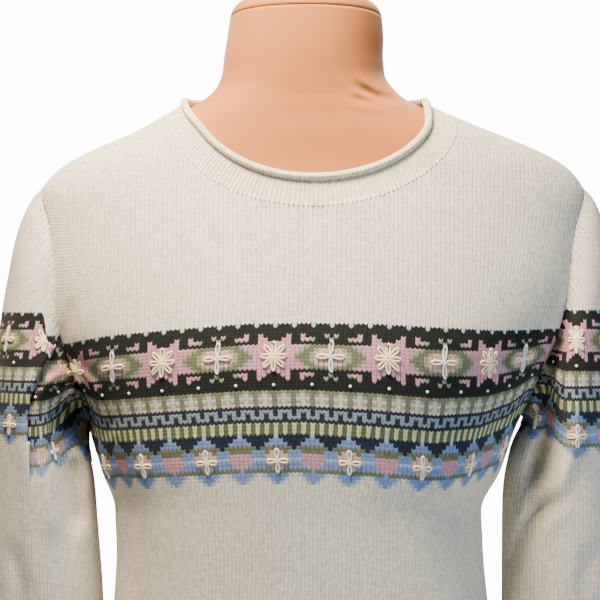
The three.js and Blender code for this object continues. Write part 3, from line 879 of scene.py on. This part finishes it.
def grid_colours(wale, row):
    """Yarn colour of each face, read from the chart."""
    face_wale = np.floor((wale[:-1, :-1] + wale[:-1, 1:]) / 2).astype(int)
    face_row = np.floor((row[:-1, :-1] + row[1:, :-1]) / 2).astype(int)
    tints = np.empty(face_wale.shape + (3,))
    for i in range(tints.shape[0]):
        for j in range(tints.shape[1]):
            tints[i, j] = yarn_colours[stitch_letter(int(face_wale[i, j]), int(face_row[i, j]))]
    return tints


# %% [markdown]
# ## Wool
# Lambswool scatters light in its fuzz, so it looks matt with a soft pale rim: a high roughness and some
# sheen. Its colour is never even, because the dyed fibres are blended before spinning. Each stitch leg is
# drawn as a raised loop in the bump, from the stitch coordinates, so the scale comes from the gauge. The
# colour is also darkened in the gaps between the loops, as painted shade.


# %% Material helpers
def add(tree, kind, settings=None, **links):
    """Adds a node with its settings. A link is named for the socket it goes into."""
    node = tree.nodes.new(kind)
    for name, value in (settings or {}).items():
        if isinstance(name, str) and hasattr(node, name):
            setattr(node, name, value)
        else:
            node.inputs[name].default_value = value
    for name, source in links.items():
        key = int(name[1:]) if name[1:].isdigit() else name.replace("_", " ")
        tree.links.new(source, node.inputs[key])
    return node


def new_material(name):
    material = bpy.data.materials.new(name)
    material.use_nodes = True
    material.node_tree.nodes.clear()
    return material, material.node_tree


def calculate(tree, operation, *values):
    """A Math node. Each value is a number, or the socket that it comes from."""
    numbers = {i: value for i, value in enumerate(values) if isinstance(value, float)}
    links = {f"_{i}": value for i, value in enumerate(values) if i not in numbers}
    return add(tree, "ShaderNodeMath", {"operation": operation, **numbers}, **links).outputs[0]


def noise(tree, scale, detail, roughness=0.5):
    """Noise that is fixed to the object, with about scale waves in a metre."""
    place = add(tree, "ShaderNodeTexCoord").outputs["Object"]
    settings = {"Scale": scale, "Detail": detail, "Roughness": roughness}
    return add(tree, "ShaderNodeTexNoise", settings, Vector=place).outputs["Fac"]


def rescaled(tree, value, low, high, to_low, to_high):
    settings = {"From Min": low, "From Max": high, "To Min": to_low, "To Max": to_high}
    return add(tree, "ShaderNodeMapRange", settings, Value=value).outputs[0]


def cloth_shader(tree, colour, shade, height, bump, settings):
    """Shaded colour and relief, joined in a shader. colour is a hex value or a socket."""
    tinted = add(tree, "ShaderNodeVectorMath", {"operation": "SCALE"}, Scale=shade)
    if isinstance(colour, str):
        tinted.inputs[0].default_value = linear(colour)
    else:
        tree.links.new(colour, tinted.inputs[0])
    relief = add(tree, "ShaderNodeBump", {"Strength": bump[0], "Distance": bump[1]}, Height=height)
    shader = add(tree, "ShaderNodeBsdfPrincipled", settings, Base_Color=tinted.outputs[0],
                 Normal=relief.outputs[0])
    add(tree, "ShaderNodeOutputMaterial", Surface=shader.outputs[0])


# %% Lambswool in stocking stitch
LOOP_SHARE = 0.55  # how much the legs of the Vs, and the wales' cords, each add to the relief
FIBRE_SHARE = 0.2


def knitted_wool(name, relief=1.0, colour=None):
    """Knitted wool. The colour comes from the yarn attribute unless one is given."""
    material, tree = new_material(name)
    stitch = add(tree, "ShaderNodeUVMap", {"uv_map": "stitch"})
    split = add(tree, "ShaderNodeSeparateXYZ", _0=stitch.outputs["UV"])

    def wave(axis, count, sharpness):
        """A rounded wave that is 0 at whole numbers and 1 half-way between them."""
        part = calculate(tree, "FRACT", calculate(tree, "MULTIPLY", split.outputs[axis], count))
        rounded = calculate(tree, "SINE", calculate(tree, "MULTIPLY", part, math.pi))
        return calculate(tree, "POWER", rounded, sharpness)

    wales, legs, courses = wave("X", 1.0, 0.45), wave("X", 2.0, 0.5), wave("Y", 1.0, 0.5)
    cords = calculate(tree, "MULTIPLY", wales, LOOP_SHARE)
    loops = calculate(tree, "MULTIPLY_ADD", calculate(tree, "MULTIPLY", legs, courses), LOOP_SHARE, cords)
    marl = rescaled(tree, noise(tree, 300.0, 3.0, 0.65), 0.32, 0.68, 0.78, 1.14)
    clouds = rescaled(tree, noise(tree, 18.0, 2.0), 0.3, 0.7, 0.95, 1.04)
    # painted shade: the colour is darkened to half in the gaps between the stitch loops and lifted a little
    # on their tops
    painted_gap_shade = rescaled(tree, loops, 0.1, 1.05, 0.5, 1.09)
    # shade is the yarn's own marl and cloudy tone, times the painted shade in the gaps
    shade = calculate(tree, "MULTIPLY", calculate(tree, "MULTIPLY", marl, clouds), painted_gap_shade)
    height = calculate(tree, "MULTIPLY_ADD", noise(tree, 900.0, 3.0, 0.7), FIBRE_SHARE, loops)
    yarn = colour or add(tree, "ShaderNodeAttribute", {"attribute_name": "yarn"}).outputs["Color"]
    settings = {"Roughness": 0.92, "IOR": 1.5, "Sheen Weight": 0.05, "Sheen Roughness": 0.5,
                "Specular IOR Level": 0.2}
    cloth_shader(tree, yarn, shade, height, (0.55 * relief, 0.0009), settings)
    return material


stocking_stitch = knitted_wool("lambswool_stocking_stitch")

# %% [markdown]
# ## Knitted panels
# The grid of stitches is laid on the body's surface and cut to the panel's outline, then given the
# thickness of the knitting with a Solidify modifier. A sleeve is made in the same way round its tube, and
# the folded one joins two grids along its fold.

# %% Body panels
KNIT_THICKNESS = 1.6 * MM
TOP_ROW, HEM_ROW = -80, 162


def thicken(piece):
    layer = piece.modifiers.new("cloth_thickness", "SOLIDIFY")
    layer.thickness = KNIT_THICKNESS
    layer.offset = -1


def body_panel(face):
    wale, row, in_middle = stitch_grid(-WALES, WALES, TOP_ROW, HEM_ROW)
    hang = row + V_DROP * in_middle
    points = panel_point(face, wale, hang, WALE_RISE * in_middle)
    if face == "back":
        points, wale, row = points[:, ::-1], wale[:, ::-1], row[:, ::-1]
    layers = [(points, every_face(points), grid_colours(wale, row))]
    piece = knit_object(f"knit_{face}", layers, wale, row, stocking_stitch)
    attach(piece, "root")
    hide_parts(face)
    thicken(piece)


for face in FACES:
    body_panel(face)


# %% Sleeves
FOLD_TUCK = 7  # how far the inner part reaches behind the outer one
FOLD_HIDES = -6  # wales that the fold has swallowed
FOLDED_ROWS = (6, 12, 60, 110)
SLEEVE_TOP_ROW, SLEEVE_END_ROW = -62, 190


def cut_at_fold(outer, inner, row):
    """Keeps the outer grid's faces on one side of the fold and the inner grid's on the other."""
    middle, lower = face_middle(outer), face_middle(inner)
    front = middle[..., 1] < 0
    outside = front & (middle[..., 0] < fold_x(NECK_POINT - middle[..., 2]))
    folded = plateau(row, *FOLDED_ROWS)
    tucked = lower[..., 0] > fold_x(NECK_POINT - lower[..., 2]) - FOLD_TUCK
    inside = np.where(folded > 0, (front & tucked) | ~front, ~outside)
    return outside, inside


def sleeve_panel(side):
    half = SLEEVE_WALES // 2
    wale, row, in_middle = stitch_grid(-half, half, SLEEVE_TOP_ROW, SLEEVE_END_ROW)
    hang = row + V_DROP * in_middle
    chart = wale + SLEEVE_BAND[side]["chart"]
    inner = sleeve_stitch(side, wale, hang, WALE_RISE * in_middle, INNER)
    layers = [(inner, every_face(inner), grid_colours(chart, row))]
    if side == "right":
        outer = sleeve_stitch(side, wale, hang, WALE_RISE * in_middle, OUTER)
        outside, inside = cut_at_fold(outer, inner, face_middle(row))
        hidden = np.where(wale < 0, FOLD_HIDES, 0)
        layers = [(outer, outside, grid_colours(chart, row)),
                  (inner, inside, grid_colours(chart + hidden, row))]
    if SIDES[side]["sign"] < 0:
        layers = [tuple(grid[:, ::-1] for grid in layer) for layer in layers]
        wale, row = wale[:, ::-1], row[:, ::-1]
    piece = knit_object(f"knit_sleeve_{side}", layers, wale, row, stocking_stitch)
    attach(piece, "root")
    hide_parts(f"sleeve_{side}", f"forearm_{side}")
    thicken(piece)


for side in SIDES:
    sleeve_panel(side)

# %% [markdown]
# ## Embroidery
# After knitting, cream cotton is stitched over the band: lazy daisy petals on the stars, crosses on the
# diamonds, and a line of French knots. A petal is one loop of yarn that leaves the middle and comes back to
# it, so each is a thin tube along a teardrop, laid on the stitches below it.


# %% Embroidery yarn
def embroidery_cotton(name, colour):
    """Twisted cotton, a little shinier than the wool."""
    material, tree = new_material(name)
    twist = noise(tree, 1400.0, 2.0)
    tone = rescaled(tree, twist, 0.3, 0.7, 0.86, 1.08)
    settings = {"Roughness": 0.65, "IOR": 1.53, "Sheen Weight": 0.1, "Specular IOR Level": 0.4}
    cloth_shader(tree, colour, tone, twist, (0.5, 0.0003), settings)
    return material


cream_cotton = embroidery_cotton("embroidery_cotton_cream", "#fbeaba")
pale_cotton = embroidery_cotton("embroidery_cotton_pale", "#e6e6dc")
YARN_RADIUS = 0.8
YARN_SIDES = 6
YARN_UPRIGHT = (0.3, 0.2, 1.0)
PETAL_STEPS = 13
PETAL_SPAN = (0.04, 0.96)  # of its loop, so that its ends don't meet
PETAL_WIDTH = 3.4
PETAL_ROOT = 2.0  # this near the middle the yarn stands a little higher
DIAGONAL = 10.6 * math.sqrt(0.5)
STAR_PETALS = [(9.4, 0), (-9.4, 0), (0, 10.4), (0, -10.4)]
STAR_PETALS += [(x * DIAGONAL, y * DIAGONAL) for x in (1, -1) for y in (1, -1)]
CROSS_SIZES = {STAR_ROW: (10.0, 11.0), CROSS_ROW: (8.2, 8.6)}  # half width and height on each row
KNOT_RADIUS, KNOT_SIDES = 1.25, 8
KNOT_TILTS = (0.15, 0.55, 0.95, 1.35)  # radians from the knot's top
KNOT_HEIGHT = 0.8  # of its radius
KNOT_LIFTS = (0.4, 2.4)  # where it sits, and a place straight above it
EMBLEM_DROP = 24.0  # below the band's top, where the panel's width decides which emblems fit
FOLD_MARGIN = 4
COURSE = {STAR_ROW: 2.53, CROSS_ROW: 2.8}  # height of a row there


def petal_line(place, wale, row, reach_x, reach_y):
    """A teardrop of yarn from the middle to a tip reach_x, reach_y millimetres away, and back."""
    t = np.linspace(*PETAL_SPAN, PETAL_STEPS)
    length = math.hypot(reach_x, reach_y)
    along = length * (1 - np.cos(2 * np.pi * t)) / 2
    beside = PETAL_WIDTH / 2 * np.sin(2 * np.pi * t) * (along / length) ** 0.5
    dir_x, dir_y = reach_x / length, reach_y / length
    x, y = along * dir_x - beside * dir_y, along * dir_y + beside * dir_x
    lift = YARN_RADIUS * 0.5 + WALE_RISE + 0.5 * bell(along, PETAL_ROOT)
    return place(wale + 0.5 + x / WALE, row + y / COURSE[row], lift)


def knot_mesh(centre, outwards):
    """A small round knot, flattened against the cloth."""
    side = unit(np.cross(outwards, np.array([0.0, 0.0, 1.0])))
    up = np.cross(side, outwards)
    tilt = np.array(KNOT_TILTS)[:, None, None]
    turn = full_turn(KNOT_SIDES)[None, :, None] + tilt
    flat, high = KNOT_RADIUS * np.sin(tilt), KNOT_RADIUS * KNOT_HEIGHT * np.cos(tilt)
    points = centre + side * (flat * np.cos(turn)) + up * (flat * np.sin(turn)) + outwards * high
    faces = ring_faces(len(KNOT_TILTS), KNOT_SIDES)[:, OTHER_WAY].tolist()
    return points.reshape(-1, 3), faces + [list(range(KNOT_SIDES))]


def embroider(name, place, wales_seen, chart_shift):
    """All stitches over one panel: cream petals, and paler upright petals and knots."""
    def middles(first, repeat):
        return [wale for wale in wales_seen if (wale + chart_shift - first) % repeat == 0]

    def petal(wale, row, reach_x, reach_y):
        return tube(petal_line(place, wale, row, reach_x, reach_y), YARN_RADIUS, YARN_SIDES, YARN_UPRIGHT)

    cream, pale = [], []
    for wale in middles(STAR_WALE, STAR_REPEAT):
        cream += [petal(wale, STAR_ROW, x, y) for x, y in STAR_PETALS]
    diamonds = middles(STAR_WALE + STAR_REPEAT // 2, STAR_REPEAT)
    for row, wales in ((STAR_ROW, diamonds), (CROSS_ROW, middles(CROSS_WALE, CROSS_REPEAT))):
        wide, tall = CROSS_SIZES[row]
        for wale in wales:
            cream += [petal(wale, row, way * wide, 0.4) for way in (-1, 1)]
            pale += [petal(wale, row, 0.3, way * tall) for way in (-1, 1)]
    for wale in middles(STAR_WALE, BLOB_REPEAT):
        where = np.array([wale + 0.5]), np.array([KNOT_ROW])
        centre, above = (place(*where, lift)[0] for lift in KNOT_LIFTS)
        pale.append(knot_mesh(centre, unit(above - centre)))
    points, faces, slots = [], [], []
    for number, group in enumerate((cream, pale)):
        for part_points, part_faces in group:
            start = sum(len(p) for p in points)
            points.append(part_points)
            faces += [[start + i for i in face] for face in part_faces]
            slots += [number] * len(part_faces)
    piece = new_object(name, np.concatenate(points), faces, cream_cotton)
    piece.data.materials.append(pale_cotton)
    piece.data.polygons.foreach_set("material_index", slots)
    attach(piece, "root")


def on_sleeve(side):
    def place(wale, row, out):
        outer = sleeve_stitch(side, wale, row, out, OUTER)
        x, y, z = outer.reshape(-1, 3).mean(axis=0)
        beyond_fold = np.mean(wale) >= 0 or (y < 0 and x < fold_x(NECK_POINT - z) - FOLD_MARGIN)
        return outer if beyond_fold else sleeve_stitch(side, wale, row, out, INNER)
    return place


def panel_wales(face):
    """Wales of a panel where an emblem clears the edges."""
    edge = float(panel_edge(face, np.array([BAND_DROP + EMBLEM_DROP]))[0])
    last = int(edge / WALE) - 1
    return range(-last, last)


for face in FACES:
    embroider(f"embroidery_{face}", partial(panel_point, face), panel_wales(face), 0)
all_round = range(-SLEEVE_WALES // 2, SLEEVE_WALES // 2)
for side in SIDES:
    embroider(f"embroidery_sleeve_{side}", on_sleeve(side), all_round, SLEEVE_BAND[side]["chart"])

# %% [markdown]
# ## Ribs
# A rib alternates knit and purl wales, which pull into ridges and hollows. Each ribbed piece is a closed
# wall: we go up its outside, over the top and down its plain inside.

# %% Ribbed bands
rib_wool = knitted_wool("lambswool_rib", relief=0.7, colour="#e6dabe")


def ribbed_wall(name, ribs, node, point, rows, rise=0.5, per_rib=6, thickness=2.0):
    """point(turn, height, out) gives the cloth's surface: turn in radians, height from 0 to 1."""
    count = ribs * per_rib
    turn = full_turn(count)
    ridge = rise * (np.cos(turn * ribs) - 1)
    inside = np.full(count, -thickness)
    loops = [point(turn, 0 * turn, inside)]
    loops += [point(turn, height + 0 * turn, ridge) for height in np.linspace(0, 1, rows)]
    loops += [point(turn, 1 + 0 * turn, inside)]
    places, levels = ring_corners(len(loops), count)
    corner_uv = np.stack([places / per_rib, levels], -1)
    polygons = ring_faces(len(loops), count, closed=True).tolist()
    piece = new_object(name, np.array(loops), polygons, rib_wool, corner_uv)
    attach(piece, "root")
    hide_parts(node)


# %% Neckband, hem and cuffs
BAND_FOOT, BAND_REACH = -0.07, 0.95  # the band starts under the panel and ends under the roll
PICK_UP, PICK_UP_HEIGHT = 0.6, 0.1  # the ridge where its stitches are picked up


def neckband_point(turn, height, out):
    foot_drop, foot_angle = neck_curve(NECKLINE, turn)
    head_drop, head_angle = neck_curve(ROLL_LINE, turn)
    t = BAND_FOOT + height * BAND_REACH
    picked_up = 0.1 + PICK_UP * bell(height, PICK_UP_HEIGHT)
    angle, drop = foot_angle + (head_angle - foot_angle) * t, foot_drop + (head_drop - foot_drop) * t
    return body_point(angle, drop, out + picked_up)


def hem_point(turn, height, out):
    return body_point(turn, HEM_DROP - HEM_RIB * height, out)


def cuff_point(side):
    return lambda turn, height, out: sleeve_point(side, turn, SLEEVE_END + CUFF_RIB * (1 - height), out)


ribbed_wall("rib_neckband", 188, "neckband", neckband_point, 17, rise=0.35, per_rib=4, thickness=1.8)
ribbed_wall("rib_hem", 139, "hem_rib", hem_point, 24)
ribbed_wall("rib_cuff_left", 40, "cuff_left", cuff_point("left"), 24)
ribbed_wall("rib_cuff_right", 40, "cuff_right", cuff_point("right"), 24)

# %% [markdown]
# ## The rolled edge
# Stocking stitch curls over by itself at a free edge, so a few plain rows above the rib make a soft roll.

# %% Rolled edge
ROLL_STEPS, ROLL_SIDES = 360, 12
rolled_wool = knitted_wool("lambswool_roll", relief=0.8, colour="#e9dcbf")


roll_drop, roll_angle = neck_curve(ROLL_LINE, full_turn(ROLL_STEPS))
roll_line = body_point(roll_angle, roll_drop, ROLL_RADIUS / 4)
points, polygons = tube(roll_line, ROLL_RADIUS, ROLL_SIDES, (0.0, 0.0, 1.0), closed=True)
places, levels = ring_corners(ROLL_STEPS, ROLL_SIDES)
corner_uv = np.stack([levels, places], -1) / 2
rolled_edge = new_object("rolled_edge", points, polygons, rolled_wool, corner_uv)
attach(rolled_edge, "root")
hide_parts("neck_roll")

# %% [markdown]
# ## The dress form
# The form is a smooth torso under a stretched peach jersey, with a cap sewn over the top of its neck. Short
# drag lines show where the jersey is pulled over the neck's foot.

# %% Dress form
FORM_TURNS = 240
NECK_WRINKLES = [
    dict(line=[(33, -12), (52, -1), (76, 3)], wide=3, depth=2.4),
    dict(line=[(31, 1), (48, 4), (66, 6)], wide=2.8, depth=1.8),
    dict(line=[(39, -7), (60, 2)], wide=2.6, depth=1.4),
]
NECK_TILT = 0.1  # the neck's top is cut on a slope
TILT_FADE = (15, 60)  # heights above the neck point
CAP_DROPS = [-63.3, -66, -69, -71.5, -73, -74.5, -75.5]
CAP_INSETS = [0, 0.5, 1.6, 3.4, 5, 7.4, 10]


def jersey(name, colour):
    material, tree = new_material(name)
    tone = rescaled(tree, noise(tree, 9.0, 3.0), 0.3, 0.7, 0.94, 1.05)
    settings = {"Roughness": 0.8, "IOR": 1.45, "Sheen Weight": 0.2, "Sheen Roughness": 0.4}
    cloth_shader(tree, colour, tone, noise(tree, 1600.0, 2.0), (0.15, 0.0004), settings)
    return material


peach_jersey = jersey("peach_jersey_cover", "#b0682f")


def form_rings(drops, insets):
    turn = full_turn(FORM_TURNS)
    rings = []
    for drop, inset in zip(drops, insets):
        section = form_section(drop)
        for side in ("half", "front", "back"):
            section[side] = section[side] - inset
        ring = section_point(section, turn, drop)
        ring[:, 2] -= NECK_TILT * ring[:, 1] * smoothstep(-drop, *TILT_FADE)
        in_front = smoothstep(-ring[:, 1], 0, FRONT_FADE)
        ring[:, 1] += in_front * sum(line_depth(wrinkle, ring[:, 0], drop) for wrinkle in NECK_WRINKLES)
        rings.append(ring)
    return np.array(rings)


def capped_skin(name, rings, node):
    """Rings joined into a closed skin. They run downwards for the torso and upwards for the cap."""
    count = rings.shape[1]
    sides = ring_faces(len(rings), count)[:, OTHER_WAY].tolist()
    last = (len(rings) - 1) * count
    ends = [list(range(count)), list(range(last, last + count))[::-1]]
    piece = new_object(name, rings, sides + ends, peach_jersey)
    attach(piece, "root")
    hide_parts(node)


form_drops = np.concatenate([np.arange(-63, 90, 2.0), np.arange(90, 721, 9.0)])
capped_skin("form_torso", form_rings(form_drops, 0 * form_drops), "dress_form")
capped_skin("form_cap", form_rings(CAP_DROPS[::-1], CAP_INSETS[::-1]), "neck_cap")

# %% [markdown]
# ## Stage, light and camera
# The floor is a small pale disc. A warm key light hangs above the neck, a wide cool fill stands in front, and
# a third light behind brightens the shoulders. The camera sees plain white where the object ends.

# %% Floor
FLOOR_RADIUS = 1.1  # metres
bpy.ops.mesh.primitive_circle_add(vertices=96, radius=FLOOR_RADIUS, fill_type="NGON", location=(0, 0, 0))
floor = bpy.context.object
floor.name = "floor"
paper, paper_tree = new_material("floor_paper")
paper_look = {"Base Color": (0.86, 0.86, 0.86, 1), "Roughness": 0.7}
paper_bsdf = add(paper_tree, "ShaderNodeBsdfPrincipled", paper_look)
add(paper_tree, "ShaderNodeOutputMaterial", Surface=paper_bsdf.outputs[0])
floor.data.materials.append(paper)

# %% Light
world = bpy.data.worlds.new("studio")
world.use_nodes = True
STUDIO_FILL = 0.1  # strength of the light from all round
BACKGROUND_WHITE = 14.0  # strength of the plain white behind the object, as the camera sees it
studio = world.node_tree
fill = studio.nodes["Background"]
fill.inputs["Color"].default_value = (0.5, 0.74, 1, 1)
fill.inputs["Strength"].default_value = STUDIO_FILL
white = add(studio, "ShaderNodeBackground", {"Color": (1, 1, 1, 1), "Strength": BACKGROUND_WHITE})
rays = add(studio, "ShaderNodeLightPath")
seen = add(studio, "ShaderNodeMixShader", _0=rays.outputs["Is Camera Ray"], _1=fill.outputs[0],
           _2=white.outputs[0])
studio.links.new(seen.outputs[0], studio.nodes["World Output"].inputs["Surface"])
bpy.context.scene.world = world


def soft_light(name, place, target, size, watts, colour, spread):
    light = bpy.data.lights.new(name, "AREA")
    light.energy = watts
    light.size = size
    light.color = colour
    light.spread = math.radians(spread)
    lamp = bpy.data.objects.new(name, light)
    lamp.location = place
    lamp.rotation_mode = "QUATERNION"
    lamp.rotation_quaternion = (Vector(target) - Vector(place)).to_track_quat("-Z", "Y")
    bpy.context.scene.collection.objects.link(lamp)


soft_light("key", (-0.2, -0.33, 1.26), (0, -0.05, 0.64), 0.3, 13.5, (1, 0.85, 0.64), 110)
soft_light("cool_fill", (1.1, -1.2, 0.7), (0, 0, 0.45), 0.9, 7.5, (0.5, 0.75, 1), 120)
soft_light("back_fill", (0.8, 1.6, 1.6), (0, 0, 0.5), 1.2, 22, (1, 0.97, 0.93), 140)

# %% Camera
CAMERA_X, CAMERA_HEIGHT, CAMERA_DISTANCE = -4.65, 567, 1600
PIXEL = 0.775  # size of one of the photo's pixels at the jumper
PHOTO_WIDTH = 600
SENSOR = 36
camera_data = bpy.data.cameras.new("camera")
camera_data.sensor_width = SENSOR
camera_data.lens = SENSOR * CAMERA_DISTANCE / (PIXEL * PHOTO_WIDTH)
camera = bpy.data.objects.new("camera", camera_data)
camera.location = (np.array([CAMERA_X, -CAMERA_DISTANCE, CAMERA_HEIGHT]) + solid_shift) * MM
camera.rotation_euler = (math.pi / 2, 0, 0)
bpy.context.scene.collection.objects.link(camera)
bpy.context.scene.camera = camera
